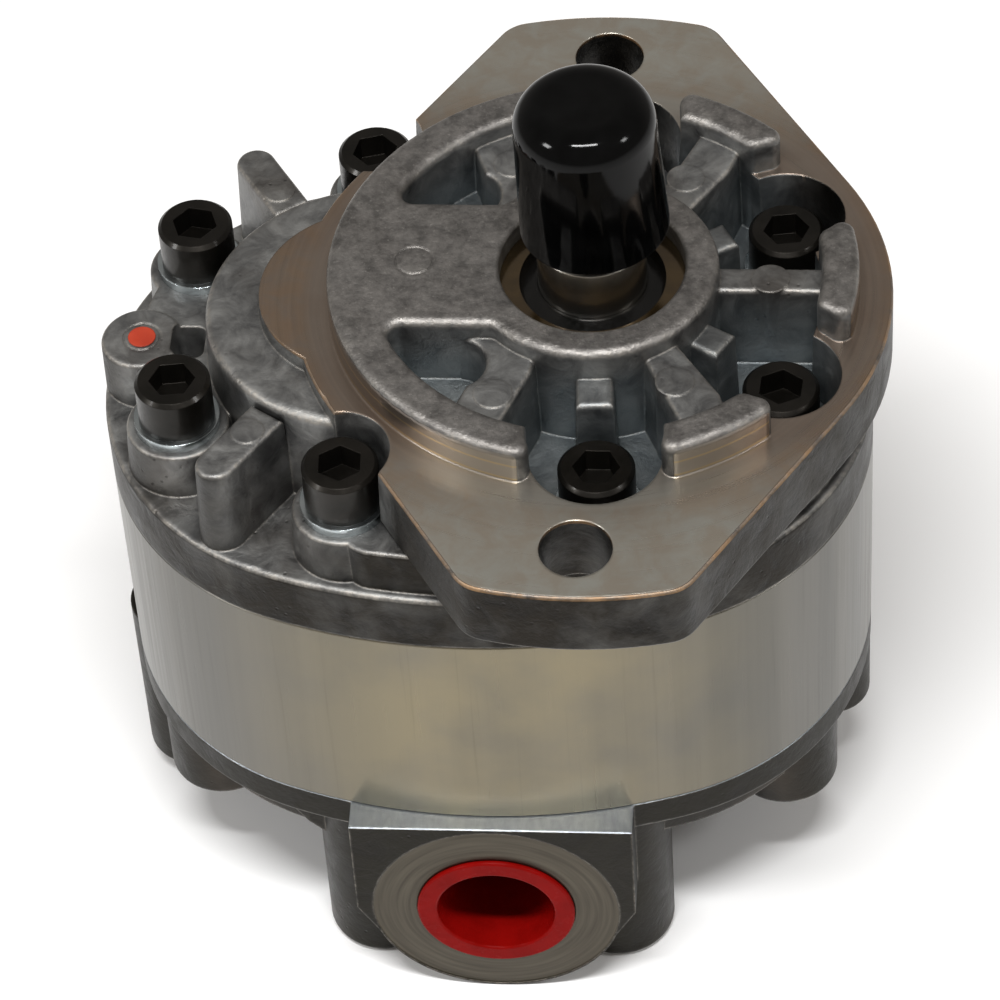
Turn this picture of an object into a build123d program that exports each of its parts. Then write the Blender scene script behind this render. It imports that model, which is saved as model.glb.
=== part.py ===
from build123d import *
import math
import os

# SAE A two-bolt hydraulic gear pump, in millimetres.
# The origin is the centre of the mounting flange's face, on the drive shaft's axis. +Z runs out along
# the shaft, the two flange holes lie on Y, the idler gear is on the -X side, and the inlet port faces -Y.

# ---------------------------------------------------------------- gears and shafts
teeth = 12                    # on each gear
centre_dist = 35.0            # drive axis to idler axis
pressure_angle = 25.0         # degrees
backlash = 0.20               # at the pitch circle
tip_gap = 0.04                # tooth tips to the gear bores, radial
journal_d = 18.0              # both shafts, in the bushings and through the gears
run_gap = 0.03                # radial gap between a turning and a fixed round face
bushing_wall = 2.0
bushing_len = 18.0
seal_land_d = 17.0            # drive shaft, under the lip seal
spline_teeth = 9
spline_d = 15.5
spline_root_d = 12.9
spline_len = 25.0
shaft_ext = 38.1              # shaft end beyond the flange face
key_w = 4.0                   # square key between drive shaft and drive gear
key_len = 20.0

# ---------------------------------------------------------------- body sections
centre_h = 42.1               # centre section, between the two joints
front_h = 31.2                # flange face down to the front joint
rear_h = 41.3                 # rear joint down to the rear cover's feet
bore_to_screws = 13.68        # gear tips out to the screw circle about each gear axis
screw_edge = 9.5              # screw circle out to the body's end arcs
side_bulge = 3.0              # the flat side arcs stand this much further out than the end arcs
plate_t = 3.0                 # wear plates
plate_gap = 0.05              # wear plate to gear face

# ---------------------------------------------------------------- screws, washers, dowels
screw_d = 7.94                # 5/16 socket head screws
thread_len = 13.8             # in the rear cover
head_d = 11.9
head_h = 7.94
hex_af = 6.35
hex_depth = 4.2
screw_hole_gap = 0.25         # radial, in the front cover and centre section
washer_rim = 0.80             # washer beyond the screw head, radial
washer_t = 1.6
washer_gap = 0.4              # washer to its pocket's wall
inner_angle = 86.6            # screws beside the flange holes, from the line of centres
outer_angle = 30.0            # screws near the body's ends
dowel_d = 6.0
dowel_seat = 6.95             # in each cover
dowel_edge = 6.6              # dowel axis in from the body's end

# ---------------------------------------------------------------- mounting flange
bolt_spacing = 106.38
bolt_hole_d = 11.12
bolt_edge = 9.81              # hole centre to the flange tip
flange_t = 12.1
plate_rim = 2.0               # flange plate beyond the deepest screw pocket
tip_angle = 57.7              # straight tip sides, from the X direction
tip_round = 6.0
pilot_d = 82.55
pilot_h = 6.35

# ---------------------------------------------------------------- front cover casting
seat_z = -12.5                # seats of the screw washers and floor of the pilot's hollows
rim_h = 10.4                  # full-outline rim above the front joint
shoulder_inset = 1.6          # upper body, in from the rim
shoulder_z = -3.0             # shoulder round the idler lobe
lobe_r = 17.3                 # machined idler lobe, level with the flange face
shoulder_wall = 14.0          # idler bushing's seat out to the shoulder's edge
boss_wall = 2.1               # screw boss beyond the screw head
end_boss_r = 6.5
end_boss_z = -11.5
fin_w = 6.2
fin_z = -4.6
fin_angle = 57.0              # from the -X direction about the idler axis
web_w = 26.6                  # solid web from hub to pilot ring, toward the idler
hollow_ring_w = 6.9           # pilot ring beside the web's two shallow hollows
hollow_floor = -6.0           # their floor
hollow_end_r = 5.2            # their round ends beside the lands
hollow_side = -17.6           # and where it ends, under the ribs
hub_wall = 5.2                # round the seal bore
ring_w = 5.8                  # pilot ring
rib_z = 3.1
lug_z = 1.0
edge_round = 1.5              # cast edges of the pilot
face_round = 0.6              # worn edge of the flange face
ledge_round = 5.0             # corner of the upper body beside the idler-side screws
tip_edge = 2.0                # rounded ends of the ring's stretches
mark_r = 3.0                  # ejector pin discs on the ribs
mark_t = 0.15
side_pocket = 4.45            # pocket beyond the screw head, screws beside the flange holes
end_pocket = 3.45             # the same, drive end
idler_pocket = 2.0            # the same, idler side
ring_break = 4.6              # pilot ring broken open this far beyond a drive-end screw head

# ---------------------------------------------------------------- shaft seal
seal_wall = 6.0               # seal land out to the seal bore, radial
seal_z = 2.9                  # top of the seal, recessed in the hub
seal_t = 8.0
seal_shell = 1.0

# ---------------------------------------------------------------- rear cover casting
rear_rim_h = 6.2
rear_body_inset = 4.2
rear_body_h = 13.2
rear_boss_h = 21.7            # four end screw bosses and the drive-end dowel boss
rear_boss_r = 8.8
lug_r = 9.4                   # tall posts round the screws beside the ports
post_r = 8.0
post_h = 37.0                 # idler-end post
pad_w = 24.0                  # flat foot under the port block
pad_len = 84.0
neck_inset = 3.4              # the port block is this much slimmer between its bosses
neck_len = 56.0

# ---------------------------------------------------------------- ports
port_drop = 20.9              # port axis below the rear joint
port_shift = 0.8              # port axis off the mid-plane, toward the drive shaft
port_face = 49.4              # port face from the line of centres
boss_w = 45.6
boss_floor = 20.4             # port axis to the rear cover's feet
inlet_r = 12.35
inlet_face_r = 20.15
outlet_r = 10.3
outlet_face_r = 17.0
port_depth = 21.0
duct_r = 6.0
duct_y = 17.5                 # risers from the ports to the gear chamber
plug_gap = 0.30
plug_len = 17.0
plug_lip = 0.55               # rim beyond the bore's radius, and proud of the port face
plug_wall = 2.45
spot_depth = 0.25             # spot face round each port

# ---------------------------------------------------------------- seals in the joints
oring_d = 2.4
oring_gap = 6.08              # gear tips out to the ring's centre line
plate_seal_w = 2.0
plate_seal_out = 1.2          # its centre line beyond the gears' pitch circles

# ---------------------------------------------------------------- shaft cap
cap_len = 25.4
cap_mouth_r = 11.55
cap_top_r = 10.75
cap_wall = 1.4
cap_z = 15.4                  # mouth
cap_tilt = 2.4                # degrees, leaning toward the idler side
cap_shift = 0.75
cap_round = 4.8

dot_r = 2.2
dot_t = 0.15

# ---------------------------------------------------------------- sizes that follow
module = centre_dist / teeth
pitch_r = centre_dist / 2
tip_r = pitch_r + module
gear_bore_r = tip_r + tip_gap
journal_r = journal_d / 2
bushing_r = journal_r + run_gap + bushing_wall
screw_circle = tip_r + bore_to_screws
end_r = screw_circle + screw_edge
front_joint = -front_h
rear_joint = front_joint - centre_h
rear_foot = rear_joint - rear_h
rim_top = front_joint + rim_h
gear_top = front_joint - plate_t - plate_gap
gear_bottom = rear_joint + plate_t + plate_gap
seal_bore_r = seal_land_d / 2 + seal_wall
hub_r = seal_bore_r + hub_wall
plate_r = screw_circle + head_d / 2 + side_pocket + plate_rim
tip_reach = bolt_spacing / 2 + bolt_edge
head_z = seat_z + washer_t
washer_d = head_d + 2 * washer_rim
screw_len = head_z - rear_joint + thread_len
dowel_len = centre_h + 2 * dowel_seat
ring_in = pilot_d / 2 - ring_w
screw_end = head_z - screw_len
port_z = rear_joint - port_drop
idler_x = -centre_dist
mid_x = idler_x / 2
port_x = mid_x + port_shift
shoulder_r = bushing_r - run_gap + shoulder_wall + 1.0
boss_r = head_d / 2 + boss_wall
dowel_x = [end_r - dowel_edge, idler_x - end_r + dowel_edge]


def polar(angle, radius, x0=0.0):
    a = math.radians(angle)
    return x0 + radius * math.cos(a), radius * math.sin(a)


# screws: drive end, drive side, idler side, idler end, each with its mirror twin
drive_end = [polar(s * outer_angle, screw_circle) for s in (1, -1)]
drive_side = [polar(s * inner_angle, screw_circle) for s in (1, -1)]
idler_side = [polar(180 - s * inner_angle, screw_circle, idler_x) for s in (1, -1)]
idler_end = [polar(180 - s * outer_angle, screw_circle, idler_x) for s in (1, -1)]
screws = drive_end + drive_side + idler_side + idler_end


def slab(shape, top, bottom, taper=0.0):
    """Solid of a plan shape between two heights, widening downward by the taper."""
    if taper:
        return extrude(Pos(0, 0, top) * shape, amount=top - bottom, dir=(0, 0, -1), taper=-taper)
    return extrude(Pos(0, 0, bottom) * shape, amount=top - bottom)


def post(x, y, radius, top, bottom, flare=0.0):
    """Round post, wider by flare at its bottom."""
    h = top - bottom
    if flare:
        return Pos(x, y, bottom + h / 2) * Cone(radius + flare, radius, h)
    return Pos(x, y, bottom + h / 2) * Cylinder(radius, h)


def drill(points, radius, top, bottom):
    """Round holes through a body, as one cutter."""
    return Part() + [post(x, y, radius, top, bottom) for x, y in points]


def spoke(corners, side=1):
    """Plan shape between hub and pilot ring: each corner is an angle and a share of the way out."""
    return make_face(Polyline([polar(side * a, hub_r + t * (ring_in - hub_r)) for a, t in corners],
                              close=True))


def at_height(edges, z, tol=1e-3):
    return [e for e in edges if abs(e.bounding_box().min.Z - z) < tol
            and abs(e.bounding_box().max.Z - z) < tol]


def oval(inset=0.0):
    """Body outline: end arcs about the two gear axes, joined by flatter side arcs."""
    r = end_r - inset
    c = centre_dist / 2
    k = (c * c - side_bulge * side_bulge) / (2 * side_bulge)
    big = k + r + side_bulge
    reach = r + c + 1
    hx = c * (1 + r / (big - r))
    hy = k * r / (big - r)
    flank = Polygon((hx, hy), (hx, hy + big), (-hx, hy + big), (-hx, hy), (-c, 0), (-hx, -hy),
                    (-hx, -hy - big), (hx, -hy - big), (hx, -hy), (c, 0), align=None)
    lens = (Pos(0, -k) * Circle(big)) & (Pos(0, k) * Circle(big))
    ends = Pos(c, 0) * Circle(r) + Pos(-c, 0) * Circle(r)
    core = lens & flank & Rectangle(2 * reach, 2 * (r + side_bulge + 1))
    return Pos(mid_x, 0) * (ends + core)


def twin(radius):
    """The gear bores' figure of eight."""
    return Circle(radius) + Pos(idler_x, 0) * Circle(radius)


def stadium(radius):
    return Circle(radius) + Pos(idler_x, 0) * Circle(radius) + \
        Pos(mid_x, 0) * Rectangle(centre_dist, 2 * radius)


def write(node, shape):
    export_step(shape, "parts/" + node + ".step")


def grouped(solids):
    return Compound(children=[s.solid() if len(s.solids()) == 1 else s for s in solids])


# ================================================================ front cover
flange_circle = Circle(plate_r)
n_angle = 90 - tip_angle
corner = n_angle + math.degrees(math.acos(plate_r / tip_reach))
tips = Sketch()
for s in (1, -1):
    a = polar(s * n_angle, plate_r)
    b = polar(s * corner, tip_reach)
    d = (-b[0], b[1])
    e = (-a[0], a[1])
    outline = Line((0, 0), a) + Line(a, b) + ThreePointArc(b, (0, s * tip_reach), d) + \
        Line(d, e) + Line(e, (0, 0))
    tips += make_face(outline)
flange_plan = flange_circle + tips
flange = slab(flange_plan, 0, -flange_t)
flange_corners = [e for e in flange.edges().filter_by(Axis.Z)
                  if abs(abs(e.center().X) - polar(corner, tip_reach)[0]) < 0.5]
flange = fillet(flange_corners, tip_round)
flange = fillet(at_height(flange.edges(), -flange_t), 0.8)
flange = fillet(at_height(flange.edges(), 0), face_round)

rim = slab(oval(), rim_top, front_joint)
rim = fillet(at_height(rim.edges(), rim_top), 1.0)

upper_plan = oval(shoulder_inset) & (Pos(idler_side[0][0] + 100, 0) * Rectangle(200, 200))
upper_plan = fillet([v for v in upper_plan.vertices() if abs(v.X - idler_side[0][0]) < 0.01],
                    ledge_round)
upper = slab(upper_plan, seat_z, front_joint + 1)
upper = fillet(at_height(upper.edges(), seat_z), 0.7)

# idler side: bosses under the screws, a land joining them to the shoulder round the end
land_r = screw_circle + 3.6
land_plan = Pos(idler_x, 0) * (Circle(land_r) - Circle(shoulder_r - 2.0))
land_plan &= make_face(Polyline((idler_x, 0), polar(180 - outer_angle, 80, idler_x),
                                polar(180 + outer_angle, 80, idler_x), close=True))
land = slab(land_plan, seat_z, front_joint + 1)
end_boss = post(dowel_x[1], 0, end_boss_r, end_boss_z, front_joint + 1, 0.3)
end_boss = fillet(at_height(end_boss.edges(), end_boss_z), 0.8)
bosses = []
for x, y in idler_side + idler_end:
    b = post(x, y, boss_r, seat_z, front_joint + 1, 1.0)
    bosses.append(fillet(at_height(b.edges(), seat_z), 0.7))
shoulder = post(idler_x, 0, shoulder_r, shoulder_z, front_joint + 1, 1.2)
shoulder = fillet(at_height(shoulder.edges(), shoulder_z), 1.6)
lobe = post(idler_x, 0, lobe_r, 0, seat_z, 0.8)

fin_in = shoulder_r + 1.3
fin_out = end_r - 1.3
fins = []
for s in (1, -1):
    f = Pos((fin_in + fin_out) / 2, 0, 0) * SlotOverall(fin_out - fin_in, fin_w)
    f += Pos((fin_in + fin_out) / 2 - 4, 0, 0) * Rectangle(fin_out - fin_in - fin_w, fin_w)
    body = slab(f, fin_z, front_joint + 1, taper=2.2)
    body = fillet(at_height(body.edges(), fin_z), 0.9)
    body += post(fin_in + 4.0, 0, mark_r - 0.4, fin_z + mark_t, fin_z - 6.0)
    fins.append(Pos(idler_x, 0, 0) * Rot(0, 0, 180 - s * fin_angle) * body)

# pilot: hub, web and a broken ring, standing from the floor of the hollows; the ring is a little
# thicker toward the idler, where the two hollows beside the web are shallow
ring_hole = Pos((hollow_ring_w - ring_w) / 2, 0) * Circle(ring_in - (hollow_ring_w - ring_w) / 2)
web = Circle(ring_in + 1) & (Pos(-50, 0) * Rectangle(100, web_w))
pilot_plan = (Circle(pilot_d / 2) - ring_hole) + Circle(hub_r) + web
for x, y in drive_side:
    pilot_plan -= Pos(x, y) * Circle(head_d / 2 + side_pocket)
for x, y in drive_end:
    pilot_plan -= Pos(x, y) * Circle(head_d / 2 + ring_break)
ring_tips = [v for v in pilot_plan.vertices() if math.hypot(v.X, v.Y) > ring_in - 0.3
             and v.X > hollow_side + 4]
pilot_plan = fillet(ring_tips, tip_edge)
web_corners = [v for v in pilot_plan.vertices() if abs(abs(v.Y) - web_w / 2) < 0.01]
pilot_plan = fillet(web_corners, 2.0)
pilot = slab(pilot_plan, pilot_h, seat_z - 1)
pilot = fillet(at_height(pilot.edges(), pilot_h), edge_round)
shelf = slab(ring_hole & (Pos(hollow_side - 50, 0) * Rectangle(100, 200)), hollow_floor, seat_z - 1)

rib = [(62.9, -0.139), (45.0, -0.083), (49.6, 0.748), (52.2, 1.03), (64.1, 1.046)]
web_land = [(154.1, 0.203), (115.4, -0.127), (112.8, 0.127), (112.3, 1.12), (124.4, 1.147),
            (129.3, 0.513)]
ribs = [Pos((hub_r + ring_in) / 2, 0) * Rectangle(ring_in - hub_r + 3, 5.2)]
lugs = []
for s in (1, -1):
    hollow_end = Pos(*polar(s * 138.4, (hub_r + ring_in) / 2)) * Circle(hollow_end_r)
    ribs += [spoke(rib, s), spoke(web_land, s) - hollow_end]
    lugs.append(Rot(0, 0, s * inner_angle) * (Pos(hub_r + 1.7, 0) * Rectangle(7.8, 5.7)))
    lugs.append(Rot(0, 0, s * outer_angle) * (Pos(hub_r + 1.2, 0) * Rectangle(6.6, 5.4)))
pads = []
for plan in ribs:
    p = slab(plan, rib_z, seat_z - 1, taper=1.5)
    pads.append(fillet(at_height(p.edges(), rib_z), 0.9))
for plan in lugs:
    p = slab(plan, lug_z, seat_z - 1, taper=1.5)
    pads.append(fillet(at_height(p.edges(), lug_z), 0.9))
for angle, t in [(0.0, 0.495), (58.3, 0.39), (-58.3, 0.39), (119.2, 0.564), (-119.2, 0.564)]:
    x, y = polar(angle, hub_r + t * (ring_in - hub_r))
    pads.append(post(x, y, mark_r, rib_z + mark_t, seat_z - 1))

base = flange + lobe
hollow = slab(Circle(ring_in) - Circle(hub_r) - web, 1, seat_z)
base -= hollow
cover = rim + upper + land + end_boss + shoulder + base
cover += bosses
cover += fins
cover -= hollow
inner_bore_top = seal_z - seal_t
for points, extra in ((idler_side, idler_pocket), (drive_side, side_pocket),
                      (drive_end, end_pocket)):
    for x, y in points:
        r = head_d / 2 + extra
        cut = Pos(x, y, (seat_z + 1) / 2) * Cone(max(r - 1.2, washer_d / 2 + washer_gap), r, 1 - seat_z)
        cover -= cut
cover -= drill(idler_end, washer_d / 2 + washer_gap, 1, seat_z)
cover += pilot
cover += shelf
cover += [p & post(0, 0, ring_in + 0.5, pilot_h, front_joint) for p in pads]
for x, z in ((dowel_x[1], end_boss_z), (-(hub_r + ring_in) / 2, pilot_h)):
    cover -= Pos(x, 0, z) * (Cylinder(3.1, 0.3) - Cylinder(2.7, 0.4))
end_pocket_plan = Pos(dowel_x[1] + 7.4, 0) * RectangleRounded(5.4, 7.0, 1.6)
end_pocket_cut = extrude(Pos(0, 0, seat_z + 1) * end_pocket_plan, amount=8, dir=(0, 0, -1), taper=6)
cover -= end_pocket_cut
cover -= drill(screws, screw_d / 2 + screw_hole_gap, seat_z + 1, front_joint - 1)
for y in (bolt_spacing / 2, -bolt_spacing / 2):
    cover -= Pos(0, y, -flange_t / 2) * Cylinder(bolt_hole_d / 2, flange_t + 2)

# shaft bore: seal counterbore, lip clearance, then the two bushing seats
bush_floor = front_joint + bushing_len
cover -= post(0, 0, seal_bore_r, pilot_h + 1, seal_z - seal_t)
cover -= Pos(0, 0, pilot_h - 0.2) * Cone(seal_bore_r - 0.1, seal_bore_r + 0.5, 0.6)
cover -= post(0, 0, journal_r + 0.6, 0, front_joint - 1)
for x in (0, idler_x):
    cover -= post(x, 0, bushing_r, bush_floor, front_joint - 1)
cover -= post(idler_x, 0, journal_r - 1.5, bush_floor + 2.0, front_joint - 1)
cover -= drill([(x, 0) for x in dowel_x], dowel_d / 2, front_joint + (dowel_len - centre_h) / 2 + 0.5,
               front_joint - 1)

groove_top = front_joint + 1.4
loop_r = pitch_r + plate_seal_out
loop_plan = twin(loop_r + plate_seal_w / 2) - twin(loop_r - plate_seal_w / 2)
cover -= slab(loop_plan, groove_top, front_joint - 1)

# ================================================================ centre section
ports_y = [-duct_y, duct_y]
centre = slab(oval(), front_joint, rear_joint)
centre = chamfer(at_height(centre.edges(), front_joint) + at_height(centre.edges(), rear_joint), 0.35)
centre -= slab(twin(gear_bore_r), front_joint + 1, rear_joint - 1)
chamber = Sketch()
for y in ports_y:
    chamber += Pos(mid_x, y) * Circle(duct_r) + Pos(mid_x, y / 2) * Rectangle(2 * duct_r - 2, abs(y))
centre -= slab(chamber, gear_top - 6, rear_joint - 1)
ring_path = tip_r + oring_gap
gland = stadium(ring_path + oring_d / 2) - stadium(ring_path - oring_d / 2)
gland_d = oring_d * 0.8
centre -= slab(gland, front_joint + 1, front_joint - gland_d)
centre -= slab(gland, rear_joint + gland_d, rear_joint - 1)
centre -= drill(screws, screw_d / 2 + screw_hole_gap, front_joint + 1, rear_joint - 1)
centre -= drill([(x, 0) for x in dowel_x], dowel_d / 2, front_joint + 1, rear_joint - 1)

# ================================================================ rear cover
rear = slab(oval(), rear_joint, rear_joint - rear_rim_h)
rear = fillet(at_height(rear.edges(), rear_joint - rear_rim_h), 1.0)
rear += slab(oval(rear_body_inset), rear_joint - 1, rear_joint - rear_body_h)
boss_z = rear_joint - rear_boss_h
for x, y in drive_end + idler_end:
    b = post(x, y, rear_boss_r, rear_joint - 1, boss_z)
    rear += fillet(at_height(b.edges(), boss_z), 1.2)
b = post(dowel_x[0], 0, end_boss_r, rear_joint - 1, boss_z)
rear += fillet(at_height(b.edges(), boss_z), 1.2)
b = post(dowel_x[1] - 0.4, 0, post_r, rear_joint - 1, rear_joint - post_h)
rear += fillet(at_height(b.edges(), rear_joint - post_h), 1.6)
for x, y in drive_side + idler_side:
    b = post(x, y, lug_r, rear_joint - 1, rear_foot)
    rear += fillet(at_height(b.edges(), rear_foot), 1.6)
# webs tying the idler-side posts back to the body
for s in (1, -1):
    x, y = idler_side[0][0], s * abs(idler_side[0][1])
    web_plan = make_face(Polyline((x - 15.5, rear_joint - rear_rim_h - 0.3), (x - 8, rear_joint - rear_body_h - 1),
                                  (x, rear_joint - rear_body_h - 1), (x, rear_joint - rear_rim_h), close=True))
    web_body = extrude(Pos(0, y - s * 1.0, 0) * Rot(90, 0, 0) * web_plan, amount=6, both=True)
    rear += web_body & slab(oval(2.6), rear_joint - 1, rear_foot)
# port bosses and the block that joins them
boss_plan = Circle(boss_floor) + Pos(0, port_drop / 2) * Rectangle(boss_w, port_drop) + \
    make_face(Polyline((-boss_w / 2, 0), (boss_w / 2, 0), (boss_floor * 0.78, -boss_floor * 0.62),
                       (-boss_floor * 0.78, -boss_floor * 0.62), close=True))
tunnel = extrude(Pos(port_x, 0, port_z) * Rot(90, 0, 0) * boss_plan, amount=port_face, both=True)
slim = Circle(boss_floor - neck_inset) + \
    Pos(0, port_drop / 2) * Rectangle(2 * (boss_floor - neck_inset), port_drop)
neck = Pos(port_x, 0, port_z) * Box(boss_w + 2, neck_len, 2 * boss_floor + 2)
neck -= extrude(Pos(port_x, 0, port_z) * Rot(90, 0, 0) * slim, amount=neck_len, both=True)
rear += tunnel - (neck & slab(Rectangle(400, 400), rear_joint - rear_body_h, rear_foot - 9))
foot = extrude(Pos(port_x, 0, rear_foot) * RectangleRounded(pad_w, pad_len, 3), amount=boss_floor)
rear += foot
spine_len = centre_dist + 2 * (bushing_r + 5)
rear += slab(Pos(mid_x, 0) * RectangleRounded(spine_len, 2 * (bushing_r + 5), bushing_r + 4.9),
             rear_joint - 1, rear_joint - rear_boss_h - 6)

for s, port_r, face_r in ((-1, inlet_r, inlet_face_r), (1, outlet_r, outlet_face_r)):
    mouth = Pos(port_x, s * port_face, port_z) * Rot(90, 0, 0)
    rear -= mouth * Cylinder(face_r, 2 * spot_depth)
    rear -= Pos(port_x, s * (port_face - port_depth / 2 + 1), port_z) * Rot(90, 0, 0) * \
        Cylinder(port_r, port_depth + 2)
    wide, lead = port_r + plug_lip + 0.05, 0.8
    cone = Cone(port_r, wide, lead) if s < 0 else Cone(wide, port_r, lead)
    rear -= Pos(port_x, s * (port_face - spot_depth - lead / 2), port_z) * Rot(90, 0, 0) * cone
    rear -= Pos(port_x, s * (duct_y + (port_face - port_depth - duct_y) / 2), port_z) * \
        Rot(90, 0, 0) * Cylinder(duct_r, port_face - port_depth - duct_y + 4)
    rear -= post(mid_x, s * duct_y, duct_r, rear_joint + 1, port_z)
for x in (0, idler_x):
    rear -= post(x, 0, bushing_r, rear_joint + 1, rear_joint - bushing_len)
    rear -= post(x, 0, journal_r - 1.5, rear_joint, rear_joint - bushing_len - 2.0)
rear -= drill(screws, screw_d / 2 + 0.01, rear_joint + 1, screw_end - 2.5)
rear -= drill([(x, 0) for x in dowel_x], dowel_d / 2, rear_joint + 1,
              rear_joint - (dowel_len - centre_h) / 2 - 0.5)
groove_low = rear_joint - 1.4
rear -= slab(loop_plan, rear_joint + 1, groove_low)

# ================================================================ screws, washers, dowels
screw_nodes, washer_nodes = [], []
for i, (x, y) in enumerate(screws):
    head = chamfer(at_height(Cylinder(head_d / 2, head_h).edges(), head_h / 2), 0.6)
    head -= Pos(0, 0, head_h / 2) * extrude(RegularPolygon(hex_af / 2 / math.cos(math.pi / 6), 6),
                                            amount=-hex_depth)
    shank = Pos(0, 0, -head_h / 2 - screw_len / 2) * Cylinder(screw_d / 2, screw_len)
    shank = chamfer(at_height(shank.edges(), -head_h / 2 - screw_len), 0.8)
    turn = 17.0 * i + 8.0
    screw_nodes.append(Pos(x, y, head_z + head_h / 2) * Rot(0, 0, turn) * (head + shank))
    washer_nodes.append(post(x, y, washer_d / 2, head_z, seat_z)
                        - post(x, y, screw_d / 2 + screw_hole_gap, head_z + 1, seat_z - 1))
pin = chamfer(Cylinder(dowel_d / 2, dowel_len).edges().filter_by(GeomType.CIRCLE), 0.5)
dowels = [Pos(x, 0, (front_joint + rear_joint) / 2) * pin for x in dowel_x]


# ================================================================ shafts and gears
def involute_gear(width, bore, phase):
    """Spur gear on Z, centred on its own height, with one tooth centred at the phase angle."""
    base_r = pitch_r * math.cos(math.radians(pressure_angle))
    root_r = pitch_r - 1.22 * module
    half = math.pi / teeth / 2 - backlash / (2 * pitch_r) / 2
    inv = math.tan(math.radians(pressure_angle)) - math.radians(pressure_angle)
    flank = []
    steps = 9
    for i in range(steps + 1):
        r = base_r + (tip_r - base_r) * i / steps
        a = math.acos(min(1.0, base_r / r))
        flank.append((r, half + inv - (math.tan(a) - a)))
    pts = []
    for t in range(teeth):
        c = math.radians(phase) + 2 * math.pi * t / teeth
        low = [(root_r, c - flank[0][1] - 0.035)] + [(r, c - w) for r, w in flank]
        high = [(r, c + w) for r, w in reversed(flank)] + [(root_r, c + flank[0][1] + 0.035)]
        pts += [(r * math.cos(a), r * math.sin(a)) for r, a in low + high]
    gear = extrude(make_face(Polyline(*pts, close=True)), amount=width / 2, both=True)
    return gear - Cylinder(bore, width + 2)


gear_w = gear_top - gear_bottom
gear_mid = (gear_top + gear_bottom) / 2
shaft_low = rear_joint - bushing_len + 0.5
land_low = inner_bore_top - 0.6
spline_low = shaft_ext - spline_len

drive_shaft = post(0, 0, journal_r, land_low, shaft_low)
drive_shaft = chamfer(at_height(drive_shaft.edges(), shaft_low), 1.0)
drive_shaft += post(0, 0, seal_land_d / 2, spline_low - 1.4, land_low)
drive_shaft += Pos(0, 0, spline_low - 0.7) * Cone(seal_land_d / 2, spline_root_d / 2, 1.4)
spline = Circle(spline_root_d / 2)
for i in range(spline_teeth):
    w1, w2, r1, r2 = 1.75, 1.05, spline_root_d / 2 - 0.4, spline_d / 2
    tooth = make_face(Polyline((r1, -w1), (r2, -w2), (r2, w2), (r1, w1), close=True))
    spline += Rot(0, 0, i * 360 / spline_teeth) * tooth
spline &= Circle(spline_d / 2)
spline_body = slab(spline, shaft_ext, spline_low)
drive_shaft += spline_body & (Pos(0, 0, (shaft_ext + spline_low) / 2)
                              * chamfer(Cylinder(spline_d / 2, spline_len).edges()
                                        .filter_by(GeomType.CIRCLE), 1.2))
key_cut = Pos(journal_r, 0, gear_mid) * Box(key_w, key_w, key_len)
drive_shaft -= key_cut
drive_shaft -= Pos(0, 0, shaft_ext) * Cone(0.5, 2.2, 3.4)

drive_gear = Pos(0, 0, gear_mid) * involute_gear(gear_w, journal_r, 0)
drive_gear -= Pos(journal_r, 0, gear_mid) * Box(key_w, key_w, gear_w + 2)
drive_key = key_cut

idler_shaft = post(idler_x, 0, journal_r, front_joint + bushing_len - 0.5, shaft_low)
idler_shaft = chamfer(idler_shaft.edges().filter_by(GeomType.CIRCLE), 1.0)
idler_gear = Pos(idler_x, 0, gear_mid) * involute_gear(gear_w, journal_r, 180 / teeth)


# ================================================================ bushings, plates, seals
def bushing(x, low):
    ring = post(x, 0, bushing_r, low + bushing_len, low)
    return ring - post(x, 0, journal_r + run_gap, low + bushing_len + 1, low - 1)


front_drive_bushing = bushing(0, front_joint)
front_idler_bushing = bushing(idler_x, front_joint)
rear_drive_bushing = bushing(0, rear_joint - bushing_len)
rear_idler_bushing = bushing(idler_x, rear_joint - bushing_len)


def wear_plate(top):
    plan = twin(gear_bore_r - 0.05) - Circle(journal_r + 0.4) - Pos(idler_x, 0) * Circle(journal_r + 0.4)
    plate = slab(plan, top, top - plate_t)
    # relief grooves beside the mesh, on the gear side
    for y in (6.0, -6.0):
        z = top - plate_t if top > -centre_h else top
        plate -= Pos(mid_x, y, z) * Box(4.0, 3.0, 1.2)
    return plate


front_wear_plate = wear_plate(front_joint)
rear_wear_plate = wear_plate(rear_joint + plate_t)
front_plate_seal = slab(loop_plan, groove_top, front_joint)
rear_plate_seal = slab(loop_plan, rear_joint, groove_low)

ring_plan = stadium(ring_path + oring_d / 2 - 0.1) - stadium(ring_path - oring_d / 2 + 0.1)
front_body_seal = slab(ring_plan, front_joint, front_joint - gland_d)
rear_body_seal = slab(ring_plan, rear_joint + gland_d, rear_joint)

land_r_seal = seal_land_d / 2
case = post(0, 0, seal_bore_r, seal_z, seal_z - seal_t)
case -= post(0, 0, seal_bore_r - seal_shell, seal_z - seal_shell, seal_z - seal_t + seal_shell)
case -= post(0, 0, land_r_seal + 2.9, seal_z + 1, seal_z - seal_t - 1)
lip = post(0, 0, seal_bore_r - seal_shell, seal_z - seal_shell, seal_z - seal_t + seal_shell)
lip -= post(0, 0, land_r_seal + 2.2, seal_z + 1, seal_z - seal_t - 1)
lip_edge = land_r_seal + run_gap
dust_lip = make_face(Polyline((lip_edge, seal_z - 0.1), (lip_edge + 0.5, seal_z - 0.1),
                              (land_r_seal + 2.9, seal_z - 1.0), (land_r_seal + 2.9, seal_z - 2.6),
                              (land_r_seal + 2.0, seal_z - 2.6), (lip_edge, seal_z - 0.9),
                              close=True))
lip += revolve(Plane.XZ * dust_lip, Axis.Z)
spring_z = seal_z - 4.4
spring_r = land_r_seal + 1.45
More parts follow.
